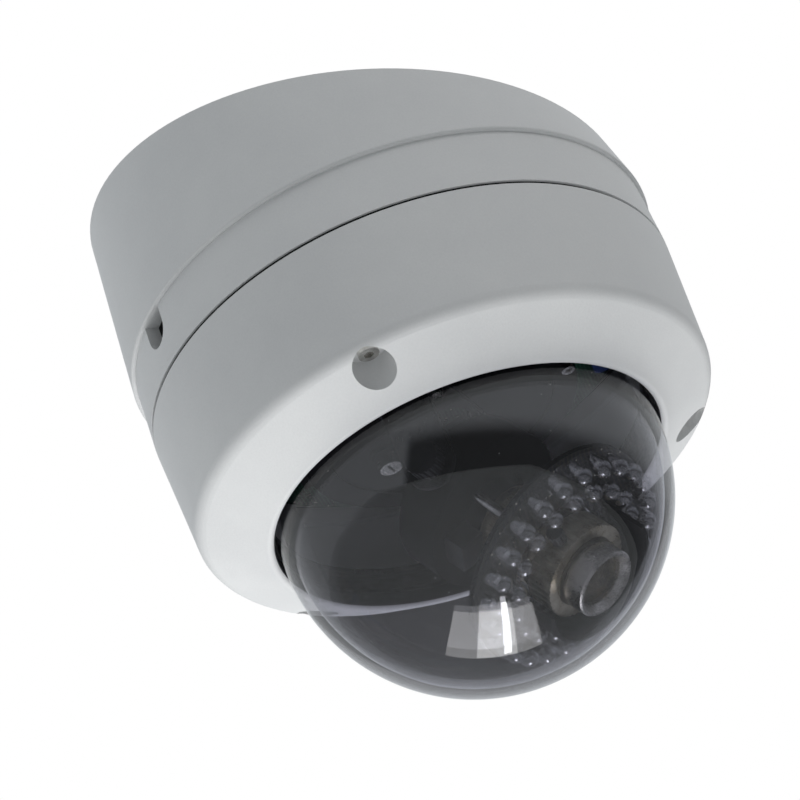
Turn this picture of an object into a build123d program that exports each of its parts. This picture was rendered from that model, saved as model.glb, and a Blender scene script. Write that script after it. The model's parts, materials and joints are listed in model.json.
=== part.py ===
"""Vandal-resistant infrared dome camera on an inclined ceiling base.

Row frame: origin at the centre of the ceiling face, +Z up into the ceiling, -Y to the front,
where the inclined base is thinnest and the dome leans. The camera hangs below the ceiling.

Three working frames hang from one another, and each piece is modelled upright in its own:
  housing  turned about X by the incline, its Z axis is the axis of the dome and of the pan
  gimbal   housing moved to the dome's centre and turned by the resting pan angle
  lens     gimbal turned about X by the resting tilt, its Z axis is the optical axis, lens at -Z
"""
import os
from math import cos, radians, sin, tan

from build123d import *

os.makedirs("parts", exist_ok=True)

# ---------------------------------------------------------------- driving dimensions (mm, degrees)
INCLINE = 14.7           # angle between the ceiling and the camera's own base
REST_PAN = -12.0         # where the gimbal stands at rest
REST_TILT = 29.5

Z_BACK = -31.7           # housing heights: back of the camera base on the inclined base
Z_SPLIT = -48.9          # camera base meets the dome cover
Z_CORNER = -84.0         # cover's side turns into its bevel
Z_DOME = -95.7           # centre of the dome's sphere
SEAL_GAP = 0.8           # gap that the cover seal fills

R_CEILING = 75.0         # radii down the housing
R_LIP = 75.6
R_BACK = 74.4
R_SPLIT = 75.0
R_CORNER = 73.1
R_OPENING = 54.4
R_DOME = 53.6
DOME_WALL = 2.8
BEVEL_ANGLE = 29.9
WALL = 3.2

SCREW_CIRCLE = 67.0      # cover screws
SCREW_START = 174.5
SCREW_ANGLES = [SCREW_START + 120.0 * k for k in range(3)]
POCKET_RADIUS = 5.5
Z_POCKET = -81.2
Z_BOSS = -56.0

NOTCH_ANGLE = 129.0      # side cable outlet in the camera base
NOTCH_WIDTH = 10.0
NOTCH_DEPTH = 9.6

CEILING_HOLE_CIRCLE = 45.0
CEILING_HOLE_RADIUS = 2.75
CABLE_HOLE_RADIUS = 22.0
BASE_SCREW_CIRCLE = 60.0

BOARD_RADIUS = 59.5      # main board, heights in the gimbal frame
BOARD_Z = 40.0
BOARD_THICKNESS = 1.6

TURNTABLE_RADIUS = 34.0
TURNTABLE_Z = 26.0
ARM_X = 25.3
ARM_THICKNESS = 2.0

SLEEVE_RADIUS = 19.5     # roll sleeve and its bearing
BEARING_GAP = 0.05
CRADLE_RADIUS = 22.4

LED_PLATE_H = 29.5       # heights in front of the tilt axis, along the lens
LED_BOARD_H = 31.0
LED_BASE_H = 32.6
LED_TIP_H = 39.4
LED_RADIUS = 2.5
OUTER_ROW_RADIUS = 28.05
OUTER_ROW_COUNT = 24
OUTER_ROW_START = 12.2
INNER_ROW_RADIUS = 21.15
INNER_ROW_COUNT = 18
INNER_ROW_START = 15.2
LED_BOARD_RADIUS = 31.2
LED_BOARD_HOLE = 17.3
SHIELD_FROM = -84.0
SHIELD_TO = 121.0

# ---------------------------------------------------------------- frames
housing = Plane(origin=(0, 0, 0), x_dir=(1, 0, 0),
                z_dir=(0, sin(radians(INCLINE)), cos(radians(INCLINE)))).location
centre = housing * Location((0, 0, Z_DOME))
gimbal = centre * Location((0, 0, 0), (0, 0, REST_PAN))
lens = gimbal * Location((0, 0, 0), (-REST_TILT, 0, 0))
row = Location((0, 0, 0))


def write(piece, frame):
    """Stand a finished piece in the row frame and write it under its own label."""
    label = piece.label
    placed = piece.moved(frame)
    placed.label = label
    export_step(placed, f"parts/{label}.step")


def polar(radius, angle):
    return (radius * cos(radians(angle)), radius * sin(radians(angle)))


def around(radius, angles):
    return [polar(radius, angle) for angle in angles]


def turned(points, mode=Mode.ADD):
    """Revolve a closed section of (radius, height) points about Z, in the current part."""
    with BuildSketch(Plane.XZ) as section:
        with BuildLine():
            Polyline(*points, close=True)
        make_face()
    revolve(section.sketch, axis=Axis.Z, mode=mode)


def ahead(points, mode=Mode.ADD):
    """The same for a lens piece: its points are (radius, distance ahead of the tilt axis)."""
    turned([(r, -h) for r, h in points], mode)


def disc(radius, low, high, places=((0, 0),), mode=Mode.ADD):
    """Round bars between two heights, one at each place."""
    with BuildSketch(Plane.XY.offset(low)) as section:
        with Locations(*places):
            Circle(radius)
    extrude(section.sketch, amount=high - low, mode=mode)


def block(width, depth, low, high, places=((0, 0),), mode=Mode.ADD):
    """Rectangular bars between two heights, one at each place."""
    with BuildSketch(Plane.XY.offset(low)) as section:
        with Locations(*places):
            Rectangle(width, depth)
    extrude(section.sketch, amount=high - low, mode=mode)


def flutes(radius, count, low, high, size=0.45):
    """Cut straight knurling into the rim of a round piece."""
    with BuildSketch(Plane.XY.offset(low)) as section:
        with PolarLocations(radius, count):
            Circle(size)
    extrude(section.sketch, amount=high - low, mode=Mode.SUBTRACT)


def screws(places, z_head, direction, head_radius, head_height, shank_radius, length):
    """Pan-head screws with a hexagon socket: heads start at z_head and stand away from direction."""
    top = z_head - direction * head_height
    disc(head_radius, z_head, top, places)
    disc(shank_radius, z_head, z_head + direction * length, places)
    with BuildSketch(Plane.XY.offset(top)) as socket:
        with Locations(*places):
            RegularPolygon(head_radius * 0.52, 6)
    extrude(socket.sketch, amount=direction * head_height * 0.6, mode=Mode.SUBTRACT)


def bevel_z(radius):
    """Height of the cover's outer bevel at a radius."""
    return Z_CORNER - (R_CORNER - radius) * tan(radians(BEVEL_ANGLE))


# ================================================================ inclined base
PLATE = 3.5              # ceiling plate of the inclined base
LIP_FILLET = 0.6
FLANGE = 3.0             # ring round the inclined base's lower opening
back_plane = Plane(housing).offset(Z_BACK)
base_screw_places = around(BASE_SCREW_CIRCLE, [0, 90, 180, 270])
cover_screw_places = around(SCREW_CIRCLE, SCREW_ANGLES)

with BuildPart() as wedge_hollow:
    with BuildSketch(Plane.XY.offset(-PLATE)):
        Circle(R_CEILING - WALL)
    with BuildSketch(back_plane.offset(FLANGE)):
        Circle(R_LIP - WALL)
    loft(ruled=True)

with BuildPart() as wedge_posts:
    with BuildSketch(back_plane):
        with Locations(*base_screw_places):
            Circle(5.0)
    extrude(amount=70)

with BuildPart() as inclined_base:
    with BuildSketch(Plane.XY):
        Circle(R_CEILING)
    with BuildSketch(back_plane):
        Circle(R_LIP)
    loft(ruled=True)
    fillet(inclined_base.faces().sort_by(Axis.Z)[0].edges(), LIP_FILLET)
    add(wedge_hollow.part - wedge_posts.part, mode=Mode.SUBTRACT)
    with BuildSketch(back_plane):
        Circle(BASE_SCREW_CIRCLE - 3.0)
        with Locations(*base_screw_places):
            Circle(5.0, mode=Mode.SUBTRACT)
    extrude(amount=FLANGE + 0.5, mode=Mode.SUBTRACT)
    with BuildSketch(back_plane):
        with Locations(*base_screw_places):
            Circle(1.7)
    extrude(amount=11.0, mode=Mode.SUBTRACT)
    with BuildSketch(Plane.XY):
        Circle(CABLE_HOLE_RADIUS)
        with PolarLocations(CEILING_HOLE_CIRCLE, 4, start_angle=45):
            Circle(CEILING_HOLE_RADIUS)
    extrude(amount=-PLATE, mode=Mode.SUBTRACT)
inclined_base.part.label = "inclined_base"
write(inclined_base.part, row)

# ================================================================ camera base, housing frame
Z_FLOOR = Z_BACK - 3.5
POST_GAP = 0.2
STANDOFF_CIRCLE = 52.0
LEG_CIRCLE = 33.0
SPIGOT_DEPTH = 5.0
BASE_BORE = 71.2
leg_places = around(LEG_CIRCLE, [90, 210, 330])
standoff_places = around(STANDOFF_CIRCLE, [30, 150, 210, 330])
board_top = Z_DOME + BOARD_Z + BOARD_THICKNESS
notch_plane = Plane(origin=(*polar(46.0, NOTCH_ANGLE), 0),
                    x_dir=(*polar(1.0, NOTCH_ANGLE - 90), 0),
                    z_dir=(*polar(1.0, NOTCH_ANGLE), 0))

TROUGH_WALL = 2.4
z_trough = Z_BACK - NOTCH_DEPTH - TROUGH_WALL
grommet_place = [polar(55.0, NOTCH_ANGLE)]

with BuildPart() as camera_base:
    turned([(0, Z_BACK), (R_BACK, Z_BACK), (R_SPLIT, Z_SPLIT), (71.6, Z_SPLIT),
            (71.6, Z_SPLIT - SPIGOT_DEPTH), (69.4, Z_SPLIT - SPIGOT_DEPTH), (69.4, Z_SPLIT),
            (BASE_BORE, Z_SPLIT + 2.0), (BASE_BORE, Z_FLOOR), (0, Z_FLOOR)])
    disc(4.6, Z_BOSS + POST_GAP, Z_FLOOR, cover_screw_places)
    disc(3.5, board_top + 8.0, Z_FLOOR, standoff_places)
    # the cable channel: a trough from the notch in the rim to an end wall inside
    with BuildSketch(notch_plane):
        with Locations((0, -(Z_BACK + z_trough) / 2)):
            Rectangle(NOTCH_WIDTH + 4.0, Z_BACK - z_trough)
    extrude(amount=26.0)
    with BuildSketch(notch_plane.offset(3.0)):
        with Locations((0, -Z_BACK)):
            SlotOverall(2 * NOTCH_DEPTH, NOTCH_WIDTH, rotation=90)
    extrude(amount=40.0, mode=Mode.SUBTRACT)
    disc(3.6, z_trough - 1, z_trough + 5, grommet_place, Mode.SUBTRACT)
    disc(2.2, Z_FLOOR, Z_BACK, base_screw_places, Mode.SUBTRACT)
    disc(1.35, Z_BOSS, Z_BOSS + 16.0, cover_screw_places, Mode.SUBTRACT)
camera_base.part.label = "camera_base"
write(camera_base.part, housing)

with BuildPart() as base_screws:
    screws(base_screw_places, Z_FLOOR, 1, 3.5, 2.6, 1.65, 3.5 + 9.0)
base_screws.part.label = "base_screws"
write(base_screws.part, housing)

# a rubber grommet lines the hole in the bottom of the trough
with BuildPart() as cable_grommet:
    disc(5.0, z_trough - 1.5, z_trough, grommet_place)
    disc(3.55, z_trough, z_trough + 3.3, grommet_place)
    disc(2.5, z_trough - 1.5, z_trough + 3.3, grommet_place, Mode.SUBTRACT)
cable_grommet.part.label = "cable_grommet"
write(cable_grommet.part, housing)

with BuildPart() as base_seal:
    turned([(71.8, Z_SPLIT), (74.2, Z_SPLIT), (74.2, Z_SPLIT - SEAL_GAP), (71.8, Z_SPLIT - SEAL_GAP)])
base_seal.part.label = "base_seal"
write(base_seal.part, housing)

# ================================================================ dome cover and bubble
Z_RIM = Z_SPLIT - SEAL_GAP
Z_SEAT = -89.0           # where the dome's gasket sits inside the cover
SEAT_RADIUS = 59.8
BOSS_RADIUS = 5.2
GASKET = 1.0
FLANGE_THICKNESS = 3.0
CLAMP_SCREW_CIRCLE = 62.2
CLAMP_UNDER = -83.5
CLAMP_TOP = -81.5
FLANGE_RADIUS = 59.4
clamp_screw_places = around(CLAMP_SCREW_CIRCLE, [SCREW_START + 30 + 60 * k for k in range(6)])

# the hollow inside the cover, without the bosses that its screws pass through
with BuildPart() as cover_hollow:
    turned([(0, Z_RIM + 1), (71.9, Z_RIM + 1), (71.9, -55.0), (70.2, -80.0), (66.0, -84.6),
            (SEAT_RADIUS, -87.0), (SEAT_RADIUS, Z_SEAT), (0, Z_SEAT)])
    disc(BOSS_RADIUS, Z_SEAT, Z_BOSS, cover_screw_places, Mode.SUBTRACT)
    disc(POCKET_RADIUS + 1.6, Z_SEAT, Z_POCKET + 2.6, cover_screw_places, Mode.SUBTRACT)
    disc(2.4, Z_SEAT, CLAMP_UNDER, clamp_screw_places, Mode.SUBTRACT)

with BuildPart() as dome_cover:
    turned([(0, Z_RIM), (R_SPLIT, Z_RIM), (R_CORNER, Z_CORNER), (R_OPENING, bevel_z(R_OPENING)),
            (0, bevel_z(R_OPENING))])
    corner = dome_cover.edges().filter_by(GeomType.CIRCLE).filter_by(lambda e: abs(e.radius - R_CORNER) < 0.1)
    fillet(corner, 4.5)
    disc(R_OPENING, bevel_z(R_OPENING), Z_SEAT, mode=Mode.SUBTRACT)
    lip = dome_cover.edges().filter_by(GeomType.CIRCLE).filter_by(lambda e: abs(e.radius - R_OPENING) < 0.1)
    fillet(lip.sort_by(Axis.Z)[0], 1.6)
    rim = dome_cover.edges().filter_by(GeomType.CIRCLE).sort_by(Axis.Z)[-1]
    chamfer(rim, 0.4)
    add(cover_hollow.part, mode=Mode.SUBTRACT)
    disc(POCKET_RADIUS, -110.0, Z_POCKET, cover_screw_places, Mode.SUBTRACT)
    disc(1.7, Z_POCKET, Z_BOSS, cover_screw_places, Mode.SUBTRACT)
    disc(0.95, -88.0, CLAMP_UNDER, clamp_screw_places, Mode.SUBTRACT)
dome_cover.part.label = "dome_cover"
write(dome_cover.part, housing)

with BuildPart() as cover_screws:
    screws(cover_screw_places, Z_POCKET, 1, 2.8, 1.9, 1.3, 38.0)
cover_screws.part.label = "cover_screws"
write(cover_screws.part, housing)

SKIRT_TOP = Z_SEAT + GASKET + FLANGE_THICKNESS
R_INNER = R_DOME - DOME_WALL
with BuildPart() as dome_bubble:
    with BuildSketch(Plane.XZ):
        with BuildLine():
            Line((0, Z_DOME - R_DOME), (0, Z_DOME - R_INNER))
            CenterArc((0, Z_DOME), R_INNER, -90, 90)
            Polyline((R_INNER, Z_DOME), (R_INNER, SKIRT_TOP), (FLANGE_RADIUS, SKIRT_TOP),
                     (FLANGE_RADIUS, SKIRT_TOP - FLANGE_THICKNESS), (R_DOME, SKIRT_TOP - FLANGE_THICKNESS),
                     (R_DOME, Z_DOME))
            CenterArc((0, Z_DOME), R_DOME, -90, 90)
        make_face()
    revolve(axis=Axis.Z)
dome_bubble.part.label = "dome_bubble"
write(dome_bubble.part, housing)

with BuildPart() as dome_gasket:
    turned([(R_DOME + 0.1, Z_SEAT), (FLANGE_RADIUS, Z_SEAT), (FLANGE_RADIUS, Z_SEAT + GASKET),
            (R_DOME + 0.1, Z_SEAT + GASKET)])
dome_gasket.part.label = "dome_gasket"
write(dome_gasket.part, housing)

with BuildPart() as clamp_ring:
    turned([(53.0, SKIRT_TOP), (FLANGE_RADIUS, SKIRT_TOP), (FLANGE_RADIUS, CLAMP_TOP), (53.0, CLAMP_TOP)])
    disc(3.8, CLAMP_UNDER, CLAMP_TOP, clamp_screw_places)
    disc(1.2, CLAMP_UNDER, CLAMP_TOP, clamp_screw_places, Mode.SUBTRACT)
clamp_ring.part.label = "clamp_ring"
write(clamp_ring.part, housing)

with BuildPart() as clamp_screws:
    screws(clamp_screw_places, CLAMP_TOP, -1, 2.0, 1.5, 0.9, 6.2)
clamp_screws.part.label = "clamp_screws"
write(clamp_screws.part, housing)

# ================================================================ main board, fixed, from the dome's centre
FLOOR_Z = Z_FLOOR - Z_DOME
PAN_BASE_Z = 28.7
PAN_BASE_RADIUS = 39.0
PAN_HOLE = 12.0
board_face = BOARD_Z + BOARD_THICKNESS

with BuildPart() as main_board:
    disc(BOARD_RADIUS, BOARD_Z, board_face)
    disc(3.8, BOARD_Z, board_face, leg_places, Mode.SUBTRACT)
    disc(1.6, BOARD_Z, board_face, standoff_places, Mode.SUBTRACT)
    disc(8.0, BOARD_Z, board_face, mode=Mode.SUBTRACT)
main_board.part.label = "main_board"
write(main_board.part, centre)

with BuildPart() as board_standoffs:
    with BuildSketch(Plane.XY.offset(board_face)):
        with Locations(*standoff_places):
            RegularPolygon(3.2, 6)
            Circle(1.3, mode=Mode.SUBTRACT)
    extrude(amount=8.0)
board_standoffs.part.label = "board_standoffs"
write(board_standoffs.part, centre)

with BuildPart() as board_screws:
    screws(standoff_places, BOARD_Z, 1, 2.8, 1.8, 1.25, 7.0)
board_screws.part.label = "board_screws"
write(board_screws.part, centre)

capacitor_places = [(46.0, -6.5), (44.5, 4.5), (38.0, -13.0), (-10.0, -50.0), (-1.0, -51.0)]
with BuildPart() as capacitors:
    disc(4.0, BOARD_Z - 8.3, BOARD_Z, capacitor_places)
    flat_ends = capacitors.edges().filter_by(GeomType.CIRCLE).group_by(Axis.Z)[0]
    fillet(flat_ends, 0.5)
capacitors.part.label = "capacitors"
write(capacitors.part, centre)

inductor_places = [(47.0, -16.5), (-44.0, 15.0), (24.0, -47.0)]
with BuildPart() as inductors:
    block(8.0, 8.0, BOARD_Z - 5.0, BOARD_Z, inductor_places)
    chamfer(inductors.edges().filter_by(Axis.Z), 1.2)
inductors.part.label = "inductors"
write(inductors.part, centre)

processor_place = (-24.0, -34.0)
with BuildPart() as processor:
    block(17.0, 17.0, BOARD_Z - 1.4, BOARD_Z, [processor_place])
processor.part.label = "processor"
write(processor.part, centre)

with BuildPart() as heat_sink:
    block(22.0, 22.0, BOARD_Z - 3.2, BOARD_Z - 1.4, [processor_place])
    fin_places = [(processor_place[0] + 3.5 * k, processor_place[1]) for k in range(-3, 4)]
    block(1.0, 22.0, BOARD_Z - 8.4, BOARD_Z - 3.2, fin_places)
heat_sink.part.label = "heat_sink"
write(heat_sink.part, centre)

with BuildPart() as memory_chips:
    block(8.0, 12.0, BOARD_Z - 1.2, BOARD_Z, [(-48.0, -4.0), (13.0, -44.0), (34.0, 30.0), (22.0, 38.0)])
memory_chips.part.label = "memory_chips"
write(memory_chips.part, centre)

with BuildPart() as board_connectors:
    for width, depth, places in ((9.0, 5.0, [(12.0, 50.0), (0.0, 51.5)]), (5.0, 9.0, [(54.4, -15.5), (54.4, 12.0)])):
        block(width, depth, BOARD_Z - 6.0, BOARD_Z, places)
        block(width - 1.6, depth - 1.6, BOARD_Z - 6.0, BOARD_Z - 1.5, places, Mode.SUBTRACT)
board_connectors.part.label = "board_connectors"
write(board_connectors.part, centre)

with BuildPart() as ethernet_jack:
    block(16.0, 21.0, board_face, board_face + 13.4, [(27.0, 10.0)])
    block(11.8, 17.0, board_face + 3.4, board_face + 11.2, [(27.0, 12.01)], Mode.SUBTRACT)
ethernet_jack.part.label = "ethernet_jack"
write(ethernet_jack.part, centre)

with BuildPart() as power_terminal:
    block(15.0, 8.0, board_face, board_face + 10.0, [(-30.0, 12.0)])
    block(3.4, 4.0, board_face + 2.0, board_face + 6.0,
          [(-35.0, 14.01), (-30.0, 14.01), (-25.0, 14.01)], Mode.SUBTRACT)
power_terminal.part.label = "power_terminal"
write(power_terminal.part, centre)

with BuildPart() as card_slot:
    block(15.0, 13.0, BOARD_Z - 1.9, BOARD_Z, [(-20.0, 44.0)])
    block(11.6, 12.0, BOARD_Z - 1.3, BOARD_Z - 0.4, [(-20.0, 44.51)], Mode.SUBTRACT)
card_slot.part.label = "card_slot"
write(card_slot.part, centre)

BUTTON_TRAVEL = 0.3
reset_place = [(-53.0, 8.0)]
with BuildPart() as reset_switch:
    block(6.0, 6.0, BOARD_Z - 3.5, BOARD_Z, reset_place)
    disc(1.75, BOARD_Z - 3.5, BOARD_Z - 1.5, reset_place, Mode.SUBTRACT)
reset_switch.part.label = "reset_switch"
write(reset_switch.part, centre)

with BuildPart() as reset_button:
    disc(1.7, BOARD_Z - 5.0, BOARD_Z - 1.5 - BUTTON_TRAVEL - 0.1, reset_place)
reset_button.part.label = "reset_button"
write(reset_button.part, centre)

# ================================================================ pan bearing
RING_UNDER = 24.9
ring_screw_places = around(36.8, [30, 150, 270])
turntable_top = TURNTABLE_Z + 2.5

with BuildPart() as pan_base:
    disc(PAN_BASE_RADIUS, PAN_BASE_Z, PAN_BASE_Z + 2.5)
    disc(PAN_HOLE, PAN_BASE_Z, PAN_BASE_Z + 2.5, mode=Mode.SUBTRACT)
    disc(3.2, PAN_BASE_Z + 2.5, FLOOR_Z, leg_places)
    disc(1.0, PAN_BASE_Z, PAN_BASE_Z + 2.5, ring_screw_places, Mode.SUBTRACT)
pan_base.part.label = "pan_base"
write(pan_base.part, centre)

with BuildPart() as retaining_ring:
    turned([(32.0, RING_UNDER), (PAN_BASE_RADIUS, RING_UNDER), (PAN_BASE_RADIUS, PAN_BASE_Z),
            (TURNTABLE_RADIUS + 0.3, PAN_BASE_Z), (TURNTABLE_RADIUS + 0.3, TURNTABLE_Z - 0.3),
            (32.0, TURNTABLE_Z - 0.3)])
    disc(1.05, RING_UNDER, PAN_BASE_Z, ring_screw_places, Mode.SUBTRACT)
retaining_ring.part.label = "retaining_ring"
write(retaining_ring.part, centre)

with BuildPart() as ring_screws:
    screws(ring_screw_places, RING_UNDER, 1, 1.9, 1.4, 0.95, 6.0)
ring_screws.part.label = "ring_screws"
write(ring_screws.part, centre)

# ================================================================ turntable and yoke, gimbal frame
YOKE_TOP = TURNTABLE_Z
YOKE_UNDER = 24.0
PIVOT_RADIUS = 1.9
lock_place = [(0.0, 18.0)]
yoke_screw_places = [(sx * 18.0, sy * 6.5) for sx in (-1, 1) for sy in (-1, 1)]

with BuildPart() as turntable:
    disc(TURNTABLE_RADIUS, TURNTABLE_Z, turntable_top)
    disc(4.5, YOKE_UNDER + 0.4, TURNTABLE_Z, lock_place)
    disc(8.0, TURNTABLE_Z, turntable_top, mode=Mode.SUBTRACT)
    disc(1.3, TURNTABLE_Z, turntable_top, yoke_screw_places, Mode.SUBTRACT)
    disc(1.45, YOKE_UNDER, turntable_top, lock_place, Mode.SUBTRACT)
turntable.part.label = "turntable"
write(turntable.part, gimbal)

with BuildPart() as tilt_yoke:
    block(2 * (ARM_X + ARM_THICKNESS), 20.0, YOKE_UNDER, YOKE_TOP)
    for side in (-1, 1):
        with BuildSketch(Plane.YZ.offset(side * ARM_X)):
            Circle(7.0)
            with Locations((0, YOKE_UNDER / 2)):
                Rectangle(14.0, YOKE_UNDER)
        extrude(amount=side * ARM_THICKNESS)
    disc(8.0, YOKE_UNDER, YOKE_TOP, mode=Mode.SUBTRACT)
    disc(1.3, YOKE_UNDER, YOKE_TOP, yoke_screw_places, Mode.SUBTRACT)
    with BuildSketch(Plane.YZ.offset(-ARM_X - ARM_THICKNESS)):
        Circle(PIVOT_RADIUS + 0.07)
    extrude(amount=2 * (ARM_X + ARM_THICKNESS), mode=Mode.SUBTRACT)
tilt_yoke.part.label = "tilt_yoke"
write(tilt_yoke.part, gimbal)

with BuildPart() as yoke_screws:
    screws(yoke_screw_places, YOKE_UNDER, 1, 2.3, 1.6, 1.25, 4.3)
yoke_screws.part.label = "yoke_screws"
write(yoke_screws.part, gimbal)

with BuildPart() as pan_lock_knob:
    disc(3.2, YOKE_UNDER - 3.4, YOKE_UNDER + 0.2, lock_place)
    disc(1.4, YOKE_UNDER + 0.2, turntable_top - 0.2, lock_place)
    with BuildSketch(Plane.XY.offset(YOKE_UNDER - 3.4)) as slot:
        with Locations(*lock_place):
            Rectangle(4.4, 0.8)
    extrude(slot.sketch, amount=1.2, mode=Mode.SUBTRACT)
pan_lock_knob.part.label = "pan_lock_knob"
write(pan_lock_knob.part, gimbal)

# ================================================================ cradle and tilt pivots, lens frame
CRADLE_BACK = -4.0       # distances ahead of the tilt axis
CRADLE_FRONT = 5.9
BOSS_END = ARM_X - 0.1
PIVOT_DEPTH = 20.5

with BuildPart() as lens_cradle:
    for side in (-1, 1):
        with BuildSketch(Plane.YZ.offset(side * (CRADLE_RADIUS - 1.5))):
            Circle(3.9)
        extrude(amount=side * (BOSS_END - CRADLE_RADIUS + 1.5))
    ahead([(0, CRADLE_BACK), (CRADLE_RADIUS, CRADLE_BACK), (CRADLE_RADIUS, CRADLE_FRONT), (0, CRADLE_FRONT)])
    ahead([(0, CRADLE_BACK), (SLEEVE_RADIUS + BEARING_GAP, CRADLE_BACK),
           (SLEEVE_RADIUS + BEARING_GAP, CRADLE_FRONT), (0, CRADLE_FRONT)], Mode.SUBTRACT)
    for side in (-1, 1):
        with BuildSketch(Plane.YZ.offset(side * BOSS_END)):
            Circle(PIVOT_RADIUS + 0.05)
        extrude(amount=-side * (BOSS_END - PIVOT_DEPTH), mode=Mode.SUBTRACT)
lens_cradle.part.label = "lens_cradle"
write(lens_cradle.part, lens)

ARM_OUT = ARM_X + ARM_THICKNESS
with BuildPart() as tilt_pivot_screw:
    with BuildSketch(Plane.YZ.offset(PIVOT_DEPTH + 0.1)):
        Circle(PIVOT_RADIUS)
    extrude(amount=ARM_OUT + 0.1 - PIVOT_DEPTH - 0.1)
    with BuildSketch(Plane.YZ.offset(ARM_OUT + 0.1)):
        Circle(3.4)
    extrude(amount=2.0)
    with BuildSketch(Plane.YZ.offset(ARM_OUT + 2.1)):
        RegularPolygon(1.6, 6)
    extrude(amount=-1.2, mode=Mode.SUBTRACT)
tilt_pivot_screw.part.label = "tilt_pivot_screw"
write(tilt_pivot_screw.part, lens)

with BuildPart() as tilt_lock_knob:
    with BuildSketch(Plane.YZ.offset(-PIVOT_DEPTH - 0.1)):
        Circle(PIVOT_RADIUS)
    extrude(amount=-(ARM_OUT + 0.1 - PIVOT_DEPTH - 0.1))
    with BuildSketch(Plane.YZ.offset(-ARM_OUT - 0.1)):
        Circle(5.0)
        with PolarLocations(5.1, 20):
            Circle(0.45, mode=Mode.SUBTRACT)
    extrude(amount=-5.0)
tilt_lock_knob.part.label = "tilt_lock_knob"
write(tilt_lock_knob.part, lens)

# ================================================================ roll sleeve and sensor, lens frame
SLEEVE_BORE = 18.0
WALL_H = 6.0
WALL_FRONT_H = 7.6
POST_CIRCLE = 15.6
post_places = around(POST_CIRCLE, [60, 180, 300])
mount_leg_places = around(15.0, [90, 180, 270])
SENSOR_BOARD_H = -7.0
SENSOR_FACE_H = -5.4

with BuildPart() as roll_sleeve:
    ahead([(SLEEVE_BORE, -8.0), (SLEEVE_RADIUS, -8.0), (SLEEVE_RADIUS, WALL_H), (22.5, WALL_H),
           (22.5, WALL_FRONT_H), (11.5, WALL_FRONT_H), (11.5, WALL_H), (SLEEVE_BORE, WALL_H)])
roll_sleeve.part.label = "roll_sleeve"
write(roll_sleeve.part, lens)

with BuildPart() as roll_retainer:
    ahead([(SLEEVE_RADIUS + BEARING_GAP, -5.6), (22.0, -5.6), (22.0, -4.1), (SLEEVE_RADIUS + BEARING_GAP, -4.1)])
roll_retainer.part.label = "roll_retainer"
write(roll_retainer.part, lens)

with BuildPart() as lens_mount:
    ahead([(7.15, 2.0), (17.9, 2.0), (17.9, WALL_H), (9.0, WALL_H), (9.0, 12.2), (7.15, 12.2)])
    disc(1.6, -2.0, -SENSOR_FACE_H, mount_leg_places)
lens_mount.part.label = "lens_mount"
write(lens_mount.part, lens)

with BuildPart() as sensor_board:
    disc(17.0, -SENSOR_FACE_H, -SENSOR_BOARD_H)
sensor_board.part.label = "sensor_board"
write(sensor_board.part, lens)

with BuildPart() as image_sensor:
    block(10.0, 9.0, 4.2, -SENSOR_FACE_H)
image_sensor.part.label = "image_sensor"
write(image_sensor.part, lens)

with BuildPart() as filter_housing:
    block(21.0, 13.0, -2.0, 4.1, [(4.0, 0.0)])
    disc(3.6, -2.0, 4.1, mode=Mode.SUBTRACT)
    block(17.9, 9.4, 0.5, 1.8, [(4.25, 0.0)], Mode.SUBTRACT)
filter_housing.part.label = "filter_housing"
write(filter_housing.part, lens)

with BuildPart() as infrared_filter:
    block(9.0, 9.0, 0.65, 1.65)
infrared_filter.part.label = "infrared_filter"
write(infrared_filter.part, lens)

# ================================================================ varifocal lens
BARREL_RADIUS = 10.0
BARREL_BORE = 8.5
ZOOM_RING_RADIUS = 12.5
FOCUS_RING_RADIUS = 13.5
ZOOM_KNOB = (20.0, 240.0)          # distance ahead and angle of each locking knob
FOCUS_KNOB = (37.4, 190.0)


def radial_plane(ahead_by, angle, radius):
    """A plane across a radius of the lens, its Z axis outwards."""
    x, y = polar(radius, angle)
    return Plane(origin=(x, y, -ahead_by), x_dir=(0, 0, 1), z_dir=(*polar(1.0, angle), 0))


def element(radius, back, front, back_bulge, front_bulge):
    """A lens element: two spherical faces and a ground edge."""
    with BuildSketch(Plane.XZ) as section:
        with BuildLine():
            front_face = TangentArc((0, -front - front_bulge), (radius, -front), tangent=(1, 0))
            back_face = TangentArc((0, -back + back_bulge), (radius, -back), tangent=(1, 0))
            Line(front_face @ 0, back_face @ 0)
            Line(front_face @ 1, back_face @ 1)
        make_face()
    revolve(section.sketch, axis=Axis.Z)


with BuildPart() as lens_barrel:
    ahead([(6.0, 4.2), (7.1, 4.2), (7.1, 12.3), (BARREL_RADIUS, 12.3), (BARREL_RADIUS, 26.5), (11.2, 26.5),
           (11.2, 29.0), (BARREL_RADIUS, 29.0), (BARREL_RADIUS, 41.4), (BARREL_BORE, 41.4),
           (BARREL_BORE, 16.0), (6.0, 16.0)])
lens_barrel.part.label = "lens_barrel"
write(lens_barrel.part, lens)

with BuildPart() as rear_lens:
    element(5.95, 6.5, 9.0, 0.8, 0.6)
rear_lens.part.label = "rear_lens"
write(rear_lens.part, lens)

with BuildPart() as zoom_lens:
    element(8.4, 21.0, 24.0, 1.2, 1.0)
zoom_lens.part.label = "zoom_lens"
write(zoom_lens.part, lens)

with BuildPart() as iris_drive:
    with BuildSketch(Plane.XY.offset(-WALL_FRONT_H)):
        with Locations(Location((*polar(14.2, 120), 0), (0, 0, 120))):
            Rectangle(7.6, 9.0)
    extrude(amount=-6.6)
iris_drive.part.label = "iris_drive"
write(iris_drive.part, lens)

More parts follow.
